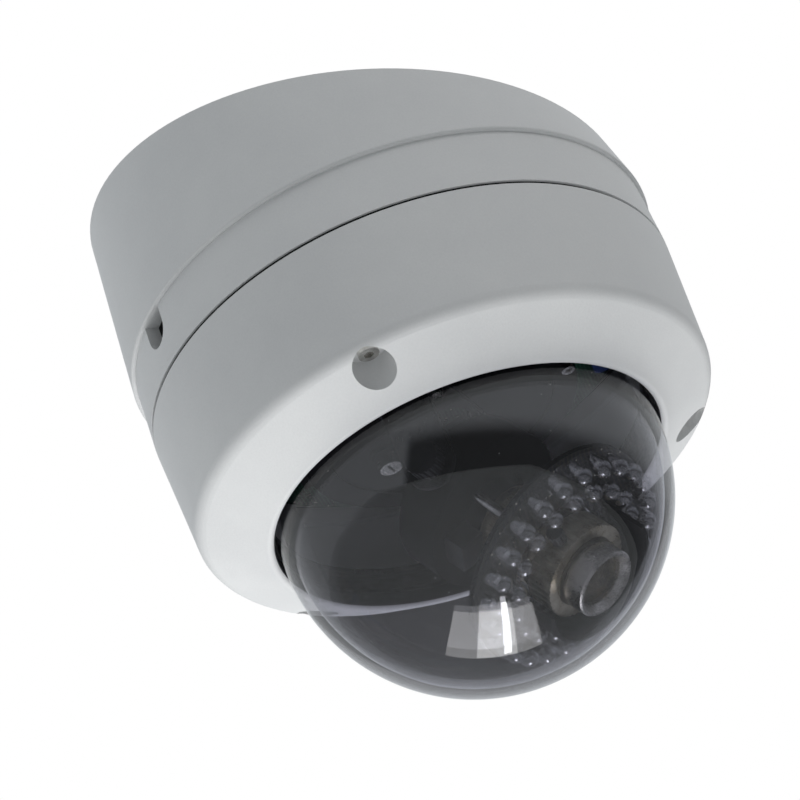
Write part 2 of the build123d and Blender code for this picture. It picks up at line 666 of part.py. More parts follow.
with BuildPart() as zoom_ring:
    ahead([(BARREL_RADIUS + 0.1, 16.0), (ZOOM_RING_RADIUS, 16.0), (ZOOM_RING_RADIUS, 24.0),
           (BARREL_RADIUS + 0.1, 24.0)])
    flutes(ZOOM_RING_RADIUS + 0.1, 40, -24.0, -16.0)
    with BuildSketch(radial_plane(*ZOOM_KNOB, BARREL_RADIUS)):
        Circle(1.05)
    extrude(amount=5.0, mode=Mode.SUBTRACT)
zoom_ring.part.label = "zoom_ring"
write(zoom_ring.part, lens)

with BuildPart() as focus_ring:
    ahead([(BARREL_RADIUS + 0.1, 33.4), (FOCUS_RING_RADIUS, 33.4), (FOCUS_RING_RADIUS, 41.2),
           (BARREL_RADIUS + 0.1, 41.2)])
    flutes(FOCUS_RING_RADIUS + 0.1, 44, -41.2, -33.4)
    with BuildSketch(radial_plane(*FOCUS_KNOB, BARREL_RADIUS)):
        Circle(1.05)
    extrude(amount=5.0, mode=Mode.SUBTRACT)
focus_ring.part.label = "focus_ring"
write(focus_ring.part, lens)

for knob_name, knob_place, ring_radius in (("zoom_lock_knob", ZOOM_KNOB, ZOOM_RING_RADIUS),
                                           ("focus_lock_knob", FOCUS_KNOB, FOCUS_RING_RADIUS)):
    with BuildPart() as lock_knob:
        with BuildSketch(radial_plane(*knob_place, BARREL_RADIUS + 0.4)):
            Circle(1.0)
        extrude(amount=ring_radius - BARREL_RADIUS - 0.2)
        with BuildSketch(radial_plane(*knob_place, ring_radius + 0.2)):
            Circle(2.2)
            with PolarLocations(2.3, 14):
                Circle(0.3, mode=Mode.SUBTRACT)
        extrude(amount=4.3)
    lock_knob.part.label = knob_name
    write(lock_knob.part, lens)

with BuildPart() as focus_cell:
    ahead([(7.2, 31.0), (8.4, 31.0), (8.4, 43.0), (9.6, 43.0), (9.6, 48.2), (9.2, 48.6), (8.4, 48.6),
           (7.2, 46.6)])
focus_cell.part.label = "focus_cell"
write(focus_cell.part, lens)

with BuildPart() as front_lens:
    element(7.1, 41.5, 45.2, 0.3, 1.6)
front_lens.part.label = "front_lens"
write(front_lens.part, lens)

# ================================================================ infrared light ring
with BuildPart() as led_posts:
    disc(1.5, -LED_PLATE_H, -WALL_FRONT_H, post_places)
    disc(0.9, -LED_PLATE_H, -LED_PLATE_H + 6.0, post_places, Mode.SUBTRACT)
led_posts.part.label = "led_posts"
write(led_posts.part, lens)

with BuildPart() as led_plate:
    ahead([(13.8, LED_PLATE_H), (LED_BOARD_RADIUS, LED_PLATE_H), (LED_BOARD_RADIUS, LED_BOARD_H),
           (13.8, LED_BOARD_H)])
    disc(0.95, -LED_BOARD_H, -LED_PLATE_H, post_places, Mode.SUBTRACT)
led_plate.part.label = "led_plate"
write(led_plate.part, lens)

with BuildPart() as led_plate_screws:
    screws(post_places, -LED_BOARD_H, 1, 1.45, 1.1, 0.85, 6.5)
led_plate_screws.part.label = "led_plate_screws"
write(led_plate_screws.part, lens)

with BuildPart() as led_board:
    ahead([(LED_BOARD_HOLE, LED_BOARD_H), (LED_BOARD_RADIUS, LED_BOARD_H), (LED_BOARD_RADIUS, LED_BASE_H),
           (LED_BOARD_HOLE, LED_BASE_H)])
led_board.part.label = "led_board"
write(led_board.part, lens)

with BuildPart() as one_led:
    with BuildSketch(Plane.XZ):
        with BuildLine():
            Polyline((0, -LED_TIP_H), (0, -LED_BASE_H), (LED_RADIUS, -LED_BASE_H),
                     (LED_RADIUS, -LED_TIP_H + LED_RADIUS))
            CenterArc((0, -LED_TIP_H + LED_RADIUS), LED_RADIUS, -90, 90)
        make_face()
    revolve(axis=Axis.Z)

outer_angles = [OUTER_ROW_START + 360 / OUTER_ROW_COUNT * k for k in range(OUTER_ROW_COUNT)]
sensor_angle = outer_angles.pop()
with BuildPart() as outer_leds:
    with Locations(*around(OUTER_ROW_RADIUS, outer_angles)):
        add(one_led.part)
outer_leds.part.label = "outer_leds"
write(outer_leds.part, lens)

with BuildPart() as inner_leds:
    with PolarLocations(INNER_ROW_RADIUS, INNER_ROW_COUNT, start_angle=INNER_ROW_START):
        add(one_led.part)
inner_leds.part.label = "inner_leds"
write(inner_leds.part, lens)

with BuildPart() as light_sensor:
    disc(2.5, -LED_BASE_H - 2.2, -LED_BASE_H, around(OUTER_ROW_RADIUS, [sensor_angle]))
light_sensor.part.label = "light_sensor"
write(light_sensor.part, lens)

# a rubber shield keeps the LEDs' light off the lens, open on one side to reach the focus ring
with BuildPart() as light_shield:
    ahead([(17.35, LED_BASE_H), (18.4, LED_BASE_H), (18.4, 46.4), (17.35, 46.9)])
    with BuildSketch(Plane.XY.offset(-50)):
        with BuildLine():
            Polyline((0, 0), *around(30.0, [SHIELD_TO, SHIELD_TO + 50, SHIELD_FROM + 310, SHIELD_FROM + 360]),
                     close=True)
        make_face()
    extrude(amount=20, mode=Mode.SUBTRACT)
light_shield.part.label = "light_shield"
write(light_shield.part, lens)
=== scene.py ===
import json
import math
import random

import bmesh
import bpy
from mathutils import Matrix, Vector


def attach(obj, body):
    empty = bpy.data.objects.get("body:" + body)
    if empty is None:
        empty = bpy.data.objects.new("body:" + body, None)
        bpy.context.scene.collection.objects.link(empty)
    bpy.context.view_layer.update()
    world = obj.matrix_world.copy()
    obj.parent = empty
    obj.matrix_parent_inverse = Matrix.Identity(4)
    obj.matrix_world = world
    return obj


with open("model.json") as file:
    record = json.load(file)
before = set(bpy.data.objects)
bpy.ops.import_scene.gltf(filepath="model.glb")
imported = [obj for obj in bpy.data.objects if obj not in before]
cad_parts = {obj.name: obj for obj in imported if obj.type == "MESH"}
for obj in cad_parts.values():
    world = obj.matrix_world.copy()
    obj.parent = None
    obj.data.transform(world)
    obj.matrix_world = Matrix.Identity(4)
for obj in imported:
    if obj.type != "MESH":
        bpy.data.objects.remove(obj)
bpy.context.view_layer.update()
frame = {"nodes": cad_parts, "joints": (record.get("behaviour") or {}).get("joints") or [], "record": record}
joints = {j["name"]: j for j in frame["joints"]}
MM = 0.001
MM_PER_METRE = 1000.0


def add_node(tree, kind, operation=None, values=None):
    """Add a shader node, with its operation and the values of some of its inputs."""
    node = tree.nodes.new("ShaderNode" + kind)
    if operation:
        node.operation = operation
    for socket, value in (values or {}).items():
        node.inputs[socket].default_value = value
    return node


# ---------------------------------------------------------------- camera
def aim(obj, right, up, forward, place):
    """Place an object that looks along forward with its own Y axis up."""
    turn = Matrix((right, up, -forward)).transposed()
    obj.matrix_world = Matrix.Translation(place) @ turn.to_4x4()


def look_at(obj, place, target):
    """Place an object so that its -Z axis points at the target."""
    forward = (target - place).normalized()
    right = forward.cross(Vector((0, 0, 1))).normalized()
    aim(obj, right, right.cross(forward), forward, place)


SENSOR_WIDTH, FOCAL_LENGTH = 36.0, 152.3        # millimetres
NEAREST, FARTHEST = 0.01, 50.0
CAMERA_PLACE = Vector((-0.7864, -0.1801, -0.5031))
VIEW_FORWARD = Vector((0.8551, 0.1882, 0.4830)).normalized()
VIEW_RIGHT = Vector((0.2595, -0.9620, -0.0845)).normalized()

camera = bpy.data.objects.new("camera", bpy.data.cameras.new("camera"))
bpy.context.collection.objects.link(camera)
camera.data.sensor_width = SENSOR_WIDTH
camera.data.lens = FOCAL_LENGTH
camera.data.clip_start = NEAREST
camera.data.clip_end = FARTHEST
aim(camera, VIEW_RIGHT, VIEW_RIGHT.cross(VIEW_FORWARD), VIEW_FORWARD, CAMERA_PLACE)
bpy.context.scene.camera = camera
bpy.context.scene.view_settings.view_transform = "Standard"


# ---------------------------------------------------------------- lights
def area_light(name, place, target, size, power):
    """A rectangular light that the camera doesn't see; metres and watts."""
    data = bpy.data.lights.new(name, "AREA")
    data.shape = "RECTANGLE"
    data.size, data.size_y = size
    data.energy = power
    light = bpy.data.objects.new(name, data)
    bpy.context.collection.objects.link(light)
    light.visible_camera = False
    look_at(light, Vector(place), Vector(target))
    return light


# one lamp below the object: a wide diffuser, its brighter middle, and a tube that shows through
area_light("softbox", (0.44, 0.00, -1.20), (0.10, -0.09, -0.07), (0.80, 0.75), 4.0)
area_light("softbox_middle", (0.42, -0.02, -1.19), (0.08, -0.11, -0.07), (0.32, 0.75), 2.6)
area_light("softbox_tube", (0.375, -0.117, -1.18), (0.055, -0.203, -0.07), (0.06, 0.78), 1.6)

# two fills that light the paint and have no reflection
BODY_MIDDLE = (0, 0, -0.07)
for fill in (area_light("under_fill", (0.10, -0.20, -1.30), BODY_MIDDLE, (1.0, 1.0), 3.8),
             area_light("side_fill", (-0.60, -0.90, 1.20), BODY_MIDDLE, (0.9, 0.9), 8.0)):
    fill.visible_glossy = False


# ---------------------------------------------------------------- room
SWEEP_SIDE = (0.375, 0.853, 0.287)      # a pale sweep fills the half of the room on this side
SWEEP_EDGE = (-0.02, 0.03)              # the sweep fades in over this much of the dot product
CEILING_EDGE = (0.12, 0.34)             # the ceiling fades in between these heights of direction
ROOM, SWEEP, CEILING, BEHIND = 0.13, 0.64, 0.80, 0.08
ROOM_COLOUR, PAGE_COLOUR = (0.93, 0.97, 1.0, 1.0), (1.0, 1.0, 1.0, 1.0)


def build_world(world):
    """A dim room with a pale side, a ceiling for reflections and a white page for the camera."""
    world.use_nodes = True
    tree = world.node_tree
    tree.nodes.clear()
    link = tree.links.new

    direction = add_node(tree, "TexCoord").outputs["Generated"]
    path = add_node(tree, "LightPath").outputs

    side = add_node(tree, "VectorMath", "DOT_PRODUCT", {1: SWEEP_SIDE})
    link(direction, side.inputs[0])
    edge = add_node(tree, "MapRange", values={
        "From Min": SWEEP_EDGE[0], "From Max": SWEEP_EDGE[1], "To Min": ROOM, "To Max": SWEEP})
    link(side.outputs["Value"], edge.inputs["Value"])

    height = add_node(tree, "SeparateXYZ")
    link(direction, height.inputs[0])
    ceiling = add_node(tree, "MapRange", values={
        "From Min": CEILING_EDGE[0], "From Max": CEILING_EDGE[1], "To Max": CEILING})
    link(height.outputs[2], ceiling.inputs["Value"])
    mirrored = add_node(tree, "Math", "MULTIPLY")       # only reflections meet the ceiling
    link(ceiling.outputs["Result"], mirrored.inputs[0])
    link(path["Is Glossy Ray"], mirrored.inputs[1])

    brighter = add_node(tree, "Math", "MAXIMUM")
    link(edge.outputs["Result"], brighter.inputs[0])
    link(mirrored.outputs[0], brighter.inputs[1])
    room = add_node(tree, "Background", values={"Color": ROOM_COLOUR})
    link(brighter.outputs[0], room.inputs["Strength"])

    # the page is white, but dim where it is seen through the smoked dome
    page_shows = add_node(tree, "MapRange", values={
        "From Max": 1.0, "To Min": 1.0, "To Max": BEHIND})
    link(path["Transparent Depth"], page_shows.inputs["Value"])
    page = add_node(tree, "Background", values={"Color": PAGE_COLOUR})
    link(page_shows.outputs["Result"], page.inputs["Strength"])

    seen = add_node(tree, "MixShader")
    link(path["Is Camera Ray"], seen.inputs[0])
    link(room.outputs[0], seen.inputs[1])
    link(page.outputs[0], seen.inputs[2])
    link(seen.outputs[0], add_node(tree, "OutputWorld").inputs[0])


bpy.context.scene.world = bpy.data.worlds.new("studio")
build_world(bpy.context.scene.world)


# ---------------------------------------------------------------- materials
class Surface:
    """A node material: a Principled shader and helpers that wire procedural detail into it."""

    def __init__(self, name, rough=0.5, metallic=0.0, coat=0.0, specular=0.5):
        self.name = name
        self.material = bpy.data.materials.new(name)
        self.material.use_nodes = True
        self.nt = self.material.node_tree
        self.shader = self.nt.nodes["Principled BSDF"]
        self.out = self.nt.nodes["Material Output"]
        self.shader.inputs["Roughness"].default_value = rough
        self.shader.inputs["Metallic"].default_value = metallic
        self.shader.inputs["Coat Weight"].default_value = coat
        self.shader.inputs["Specular IOR Level"].default_value = specular
        self.place = self.node("TexCoord").outputs["Object"]
        self.height = None

    def node(self, kind, operation=None, values=None):
        return add_node(self.nt, kind, operation, values)

    def link(self, a, b):
        self.nt.links.new(a, b)

    def math(self, operation, a, b=None):
        n = self.node("Math", operation)
        for socket, value in zip(n.inputs, (a, b)):
            if value is None:
                continue
            if isinstance(value, (int, float)):
                socket.default_value = value
            else:
                self.link(value, socket)
        return n.outputs[0]

    def stretched(self, factors):
        n = self.node("Mapping", values={"Scale": factors})
        self.link(self.place, n.inputs["Vector"])
        return n.outputs[0]

    def noise(self, size_mm, detail=3.0, roughness=0.5, place=None):
        n = self.node("TexNoise", values={
            "Scale": MM_PER_METRE / size_mm, "Detail": detail, "Roughness": roughness})
        self.link(place or self.place, n.inputs["Vector"])
        return n.outputs["Fac"]

    def cells(self, size_mm):
        """Distance to the middle of the nearest cell."""
        n = self.node("TexVoronoi", values={"Scale": MM_PER_METRE / size_mm})
        self.link(self.place, n.inputs["Vector"])
        return n.outputs["Distance"]

    def spread(self, value, low, high, to_low, to_high):
        n = self.node("MapRange", values={
            "From Min": low, "From Max": high, "To Min": to_low, "To Max": to_high})
        self.link(value, n.inputs["Value"])
        return n.outputs["Result"]

    def mixed(self, factor, a, b):
        n = self.node("Mix")
        n.data_type = "RGBA"
        self.link(factor, n.inputs["Factor"])
        for socket, value in ((n.inputs["A"], a), (n.inputs["B"], b)):
            if isinstance(value, tuple):
                socket.default_value = (*value, 1.0)
            else:
                self.link(value, socket)
        return n.outputs["Result"]

    def colour(self, socket):
        self.link(socket, self.shader.inputs["Base Color"])

    def own_colour(self):
        """What is wired into the base colour so far."""
        return self.shader.inputs["Base Color"].links[0].from_socket

    def roughness(self, socket):
        self.link(socket, self.shader.inputs["Roughness"])

    def bump(self, socket, depth_mm):
        """Raise the surface by up to depth_mm, on top of any bump before."""
        n = self.node("Bump", values={"Strength": 1.0, "Distance": depth_mm * MM})
        self.link(socket, n.inputs["Height"])
        if self.height is not None:
            self.link(self.height, n.inputs["Normal"])
        self.height = n.outputs[0]
        self.link(self.height, self.shader.inputs["Normal"])


def plain(name, light, dark, rough, grain_mm, depth_mm, blotch_mm=9.0, specular=0.5):
    """Moulded, cast or painted stuff: two scales of colour, uneven gloss and a fine grain."""
    s = Surface(name, rough, specular=specular)
    broad = s.noise(blotch_mm, 4.0)
    fine = s.noise(grain_mm, 2.0)
    both = s.math("ADD", s.math("MULTIPLY", broad, 0.7), s.math("MULTIPLY", fine, 0.3))
    s.colour(s.mixed(s.spread(both, 0.35, 0.65, 0.0, 1.0), dark, light))
    s.roughness(s.spread(broad, 0.3, 0.7, max(rough - 0.07, 0.03), min(rough + 0.07, 1.0)))
    s.bump(fine, depth_mm)
    return s


def machined(name, light, dark, rough, stretch=(1.0, 1.0, 12.0), scratch_mm=1.2):
    """Metal with the fine lines of turning or brushing, and small stains."""
    s = Surface(name, rough, metallic=1.0)
    lines = s.noise(scratch_mm, 3.0, 0.6, s.stretched(stretch))
    stains = s.noise(5.0, 4.0)
    s.colour(s.mixed(s.spread(stains, 0.35, 0.65, 0.0, 1.0), dark, light))
    uneven = s.math("ADD", lines, stains)
    s.roughness(s.spread(uneven, 0.7, 1.3, max(rough - 0.1, 0.05), rough + 0.12))
    s.bump(lines, 0.012)
    return s


TINNED = (0.62, 0.58, 0.48)


def circuit_board(name, mask, copper, edge):
    """Solder mask over faint tracks, with tinned via dots."""
    s = Surface(name, 0.35, coat=0.3)
    tracks = s.node("TexBrick", values={
        "Scale": 260.0, "Mortar Size": 0.035,
        "Color1": (*mask, 1), "Color2": (*edge, 1), "Mortar": (*copper, 1)})
    s.link(s.place, tracks.inputs["Vector"])
    vias = s.spread(s.cells(2.3), 0.10, 0.14, 1.0, 0.0)
    dotted = s.mixed(vias, tracks.outputs["Color"], TINNED)
    s.colour(s.mixed(s.spread(s.noise(6.0), 0.45, 0.75, 0.0, 0.35), dotted, edge))
    s.roughness(s.spread(s.noise(3.0), 0.3, 0.7, 0.25, 0.5))
    s.bump(tracks.outputs["Fac"], 0.03)
    s.bump(vias, 0.05)
    return s


DUST = (0.8, 0.8, 0.8, 1)


def clear(name, tint, film, low, high, specks=None):
    """Clear stuff with straight sight through it.

    A tinted pass, and a mirror whose share grows from low, face on, to high at the edge.
    specks is (spacing in mm, radius in cells, amount) of dust.
    """
    s = Surface(name)
    s.nt.nodes.remove(s.shader)
    see = s.node("BsdfTransparent")
    paler = tuple(min(c * 1.06, 1.0) for c in tint)
    s.link(s.mixed(s.spread(s.noise(22.0), 0.35, 0.65, 0.0, 1.0), tint, paler),
           see.inputs["Color"])
    mirror = s.node("BsdfGlossy", values={"Color": (*film, 1)})
    s.link(s.spread(s.noise(14.0, 4.0), 0.3, 0.7, 0.012, 0.035), mirror.inputs["Roughness"])
    facing = s.node("LayerWeight", values={"Blend": 0.5})
    rise = s.math("POWER", facing.outputs["Facing"], 5.0)
    share = s.math("ADD", s.math("MULTIPLY", rise, high - low), low)

    def blend(factor, a, b):
        mix = s.node("MixShader")
        s.link(factor, mix.inputs[0])
        s.link(a, mix.inputs[1])
        s.link(b, mix.inputs[2])
        return mix.outputs[0]

    last = blend(share, see.outputs[0], mirror.outputs[0])
    if specks:
        spacing_mm, radius, amount = specks
        spots = s.spread(s.cells(spacing_mm), radius * 0.6, radius, 1.0, 0.0)
        patchy = s.spread(s.noise(spacing_mm * 2.7), 0.5, 0.62, 0.0, amount)
        dust = s.node("BsdfDiffuse", values={"Color": DUST})
        last = blend(s.math("MULTIPLY", spots, patchy), last, dust.outputs[0])
    s.link(last, s.out.inputs["Surface"])
    return s


INCLINE = math.radians(14.7)
SHADE_RADIUS, SPLIT = 0.0704, -0.0485      # radius and height, on the housing's own axis, that bound the painted shade inside
OPENING_WALL = 0.0547
CEILING_SKIN = -0.0001                      # the face against the ceiling gets no painted shade
# painted shade: the dark colour that stands in for shade inside the housing
PAINTED_SHADE_COLOUR = (0.045, 0.045, 0.048)


def housing_paint():
    """Powder coat, with painted shade: a dark colour inside the bases and on the wall of the dome's opening,
    where shade falls.
    """
    s = plain("paint", (0.77, 0.775, 0.775), (0.71, 0.715, 0.72), 0.52, 0.55, 0.035, 30.0)
    s.bump(s.noise(2.6, 2.0), 0.03)
    axes = s.node("SeparateXYZ")
    s.link(s.place, axes.inputs[0])
    x, y, z = axes.outputs
    across = s.math("SUBTRACT", s.math("MULTIPLY", y, math.cos(INCLINE)),
                    s.math("MULTIPLY", z, math.sin(INCLINE)))
    along = s.math("ADD", s.math("MULTIPLY", y, math.sin(INCLINE)),
                   s.math("MULTIPLY", z, math.cos(INCLINE)))
    radius = s.math("SQRT", s.math("ADD", s.math("MULTIPLY", x, x),
                                   s.math("MULTIPLY", across, across)))
    inside = s.math("MULTIPLY", s.math("LESS_THAN", radius, SHADE_RADIUS),
                    s.math("GREATER_THAN", along, SPLIT))
    opening = s.math("LESS_THAN", radius, OPENING_WALL)
    # painted shade: dark inside the bases and on the opening's wall, where shade falls, not on the ceiling
    # face
    painted_shade = s.math("MULTIPLY", s.math("MAXIMUM", inside, opening),
                  s.math("LESS_THAN", z, CEILING_SKIN))
    s.colour(s.mixed(painted_shade, s.own_colour(), PAINTED_SHADE_COLOUR))
    return s


BRIGHT_RADIUS, BLACK_RADIUS = 0.0240, 0.0243
ANODISED = (0.03, 0.03, 0.032)


def led_plate_metal():
    """Aluminium that is bright round the lens and black anodised under the LEDs."""
    s = machined("plate_aluminium", (0.66, 0.65, 0.74), (0.50, 0.49, 0.58), 0.22, (1, 1, 6), 3.0)
    roll = joints["roll_turn"]
    offset = s.node("VectorMath", "SUBTRACT", {1: roll["pos_m"]})
    s.link(s.place, offset.inputs[0])
    sideways = s.node("VectorMath", "CROSS_PRODUCT", {1: roll["axis"]})
    s.link(offset.outputs[0], sideways.inputs[0])
    from_axis = s.node("VectorMath", "LENGTH")
    s.link(sideways.outputs[0], from_axis.inputs[0])
    blackened = s.spread(from_axis.outputs["Value"], BRIGHT_RADIUS, BLACK_RADIUS, 0.0, 1.0)
    s.colour(s.mixed(blackened, s.own_colour(), ANODISED))
    return s


surfaces = [
    clear("smoked_clear", (0.76, 0.76, 0.79), (1, 1, 1), 0.055, 0.85, (3.1, 0.05, 0.75)),
    clear("lens_glass", (0.88, 0.84, 0.78), (1.0, 0.93, 0.78), 0.12, 1.0),
    clear("filter_glass", (0.62, 0.30, 0.34), (0.7, 1.0, 0.8), 0.12, 1.0),
    clear("clear_epoxy", (0.94, 0.94, 0.94), (1, 1, 1), 0.24, 1.0),
    plain("black_rubber", (0.016, 0.016, 0.017), (0.008, 0.008, 0.008), 0.7, 0.3, 0.02, 4.0, 0.15),
    plain("brown_sleeve", (0.20, 0.10, 0.045), (0.11, 0.05, 0.02), 0.35, 0.8, 0.02, 3.0),
    plain("blue_ferrite", (0.07, 0.12, 0.35), (0.03, 0.06, 0.20), 0.4, 0.6, 0.03, 3.0),
    plain("black_chip", (0.03, 0.03, 0.032), (0.015, 0.015, 0.016), 0.55, 0.25, 0.02, 3.0),
    plain("white_connector", (0.80, 0.79, 0.74), (0.66, 0.65, 0.60), 0.4, 0.5, 0.01, 4.0),
    plain("black_connector", (0.035, 0.035, 0.037), (0.018, 0.018, 0.019), 0.42, 0.4, 0.02, 4.0),
    plain("green_terminal", (0.05, 0.30, 0.12), (0.03, 0.20, 0.08), 0.42, 0.4, 0.02, 4.0),
    plain("black_moulding", (0.010, 0.010, 0.011), (0.004, 0.004, 0.005), 0.6, 0.35, 0.03, 6.0,
          0.05),
    plain("button_plastic", (0.08, 0.08, 0.085), (0.05, 0.05, 0.052), 0.45, 0.3, 0.02, 3.0),
    circuit_board("green_board", (0.010, 0.055, 0.035), (0.03, 0.13, 0.07), (0.006, 0.035, 0.022)),
    circuit_board("black_board", (0.012, 0.012, 0.014), (0.05, 0.045, 0.03), (0.02, 0.02, 0.022)),
    machined("stainless", (0.72, 0.71, 0.68), (0.30, 0.29, 0.28), 0.18),
    # drawn as blackened zinc, far darker than the record's base colour
    machined("zinc_steel", (0.085, 0.085, 0.095), (0.045, 0.045, 0.05), 0.34, (1, 9, 1), 2.0),
    machined("socket_metal", (0.70, 0.69, 0.66), (0.50, 0.49, 0.47), 0.3, (8, 1, 1)),
    machined("sink_aluminium", (0.20, 0.20, 0.22), (0.12, 0.12, 0.13), 0.45, (1, 8, 1)),
    machined("barrel_metal", (0.34, 0.30, 0.22), (0.14, 0.12, 0.09), 0.35, (1, 1, 14)),
    machined("brass_ring", (0.88, 0.82, 0.68), (0.52, 0.46, 0.33), 0.32, (1, 1, 10), 1.0),
    machined("cell_metal", (0.62, 0.60, 0.56), (0.38, 0.37, 0.34), 0.28, (1, 1, 10), 1.0),
    led_plate_metal(),
]
finishes = {surface.name: surface for surface in surfaces}
finishes["housing_paint"] = housing_paint()

slot_of = {row["node"]: row["material_slot"] for row in frame["record"]["subparts"]}
for node, obj in frame["nodes"].items():
    for slot in obj.material_slots:
        slot.material = finishes[slot_of[node]].material


# ---------------------------------------------------------------- working frames, from the joints
def triad(origin, x, z):
    """A matrix in metres from an origin and two axes."""
    x, z = Vector(x).normalized(), Vector(z).normalized()
    turn = Matrix((x, z.cross(x), z)).transposed()
    return Matrix.Translation(Vector(origin)) @ turn.to_4x4()


tilt_axis = -Vector(joints["tilt_turn"]["axis"])
housing_at = triad(joints["pan_turn"]["pos_m"], (1, 0, 0), joints["pan_turn"]["axis"])
lens_at = triad(joints["roll_turn"]["pos_m"], tilt_axis, joints["roll_turn"]["axis"])


class Shape:
    """A mesh under construction in one of the working frames, in millimetres."""

    def __init__(self, name, at, body, slot, smooth=True):
        self.bm = bmesh.new()
        self.name, self.at, self.body, self.slot, self.smooth = name, at, body, slot, smooth

    def revolved(self, points, centre, steps=32, capped=True):
        """Turn (radius, height) points about an upright axis through centre."""
        rings = []
        for radius, height in points:
            if radius < 1e-6:
                rings.append([self.bm.verts.new((*centre, height))])
                continue
            ring = []
            for k in range(steps):
                a = 2 * math.pi * k / steps
                ring.append(self.bm.verts.new((centre[0] + radius * math.cos(a),
                                               centre[1] + radius * math.sin(a), height)))
            rings.append(ring)
        for low, high in zip(rings, rings[1:]):
            for k in range(steps):
                k2 = (k + 1) % steps
                corners = [low[k % len(low)], low[k2 % len(low)],
                           high[k2 % len(high)], high[k % len(high)]]
                face = [v for i, v in enumerate(corners) if v not in corners[:i]]
                if len(face) > 2:
                    self.bm.faces.new(face)
        if capped:
            for ring in (rings[0], rings[-1]):
                if len(ring) > 1:
                    self.bm.faces.new(ring)

    def prism(self, corners, low_z, high_z):
        """A straight-sided block over an outline of (x, y) corners."""
        low = [self.bm.verts.new((x, y, low_z)) for x, y in corners]
        high = [self.bm.verts.new((x, y, high_z)) for x, y in corners]
        self.bm.faces.new(low)
        self.bm.faces.new(high)
        for i in range(len(corners)):
            j = (i + 1) % len(corners)
            self.bm.faces.new([low[i], low[j], high[j], high[i]])

    def brick(self, centre, size, angle, bevel):
        """A box with softened edges, turned about its upright axis."""
        made = bmesh.ops.create_cube(self.bm, size=1.0)["verts"]
        bmesh.ops.scale(self.bm, vec=size, verts=made)
        edges = list({e for v in made for e in v.link_edges})
        if bevel:
            cut = bmesh.ops.bevel(self.bm, geom=edges, offset=bevel, segments=2,
                                  affect="EDGES", profile=0.5)
            made = list({v for f in cut["faces"] for v in f.verts}
                        | {v for v in made if v.is_valid})
        bmesh.ops.rotate(self.bm, cent=(0, 0, 0), verts=made,
                         matrix=Matrix.Rotation(math.radians(angle), 3, "Z"))
        bmesh.ops.translate(self.bm, vec=centre, verts=made)

    def finish(self):
        """Make the object, give it its look and let it ride on its body."""
        bmesh.ops.recalc_face_normals(self.bm, faces=self.bm.faces)
        bmesh.ops.scale(self.bm, vec=(MM, MM, MM), verts=self.bm.verts)
        bmesh.ops.transform(self.bm, matrix=self.at, verts=self.bm.verts)
        mesh = bpy.data.meshes.new(self.name)
        self.bm.to_mesh(mesh)
        self.bm.free()
        mesh.polygons.foreach_set("use_smooth", [self.smooth] * len(mesh.polygons))
        obj = bpy.data.objects.new(self.name, mesh)
        bpy.context.collection.objects.link(obj)
        mesh.materials.append(finishes[self.slot].material)
        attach(obj, self.body)


def polar(radius, angle):
    return radius * math.cos(math.radians(angle)), radius * math.sin(math.radians(angle))


def turned(x, y, angle):
    return Matrix.Rotation(math.radians(angle), 2) @ Vector((x, y))


# ---------------------------------------------------------------- inside the LEDs
LED_BASE = -32.6
LED_ROWS = ((28.05, 12.2, 15.0, 23), (21.15, 15.2, 20.0, 18))      # radius, first, step, count
ANVIL_OFFSET = 1.5

cups = Shape("led_reflector_cups", lens_at, "camera_module", "stainless")
dies = Shape("led_dies", lens_at, "camera_module", "stainless")
for radius, first, step, count in LED_ROWS:
    for k in range(count):
        angle = first + step * k
        x, y = polar(radius, angle)
        cups.revolved([(0.32, LED_BASE - 0.2), (0.32, LED_BASE - 1.6), (1.25, LED_BASE - 2.5),
                       (1.15, LED_BASE - 2.62), (0.5, LED_BASE - 1.9), (0.0, LED_BASE - 1.9)],
                      (x, y), 16, False)
        ox, oy = polar(ANVIL_OFFSET, angle + 90)
        cups.brick((x + ox, y + oy, LED_BASE - 1.5), (0.5, 0.5, 2.6), angle, 0.06)
        dies.brick((x, y, LED_BASE - 2.0), (0.42, 0.42, 0.2), angle, 0.03)
cups.finish()
dies.finish()

# ---------------------------------------------------------------- small parts on the LED board
RESISTORS, RESISTOR_RADIUS, RESISTOR_END = 12, 24.6, 0.68

led_chips = Shape("led_board_resistors", lens_at, "camera_module", "black_chip")
led_ends = Shape("led_board_solder", lens_at, "camera_module", "stainless")
for k in range(RESISTORS):
    angle = 20.0 + 30.0 * k
    x, y = polar(RESISTOR_RADIUS, angle)
    led_chips.brick((x, y, LED_BASE - 0.22), (0.75, 1.0, 0.42), angle, 0.05)
    for side in (-1, 1):
        ox, oy = polar(side * RESISTOR_END, angle + 90)
        led_ends.brick((x + ox, y + oy, LED_BASE - 0.2), (0.8, 0.36, 0.4), angle, 0.08)
led_chips.finish()
led_ends.finish()

# ---------------------------------------------------------------- the aperture, deep in the lens
BLADES, IRIS_OPEN, IRIS_RIM, IRIS_Z = 6, 3.0, 8.3, -28.6
BLADE_STEP, BLADE_THICK = 0.03, 0.06

iris = Shape("iris_blades", lens_at, "camera_module", "barrel_metal", False)
for k in range(BLADES):
    start, end = 360.0 / BLADES * k, 360.0 / BLADES * (k + 1)
    z = IRIS_Z - BLADE_STEP * (k % 2)
    iris.prism([polar(IRIS_OPEN, start - 18), polar(IRIS_OPEN, end - 18),
                polar(IRIS_RIM, end + 6), polar(IRIS_RIM, (start + end) / 2),
                polar(IRIS_RIM, start)], z, z + BLADE_THICK)
iris.finish()

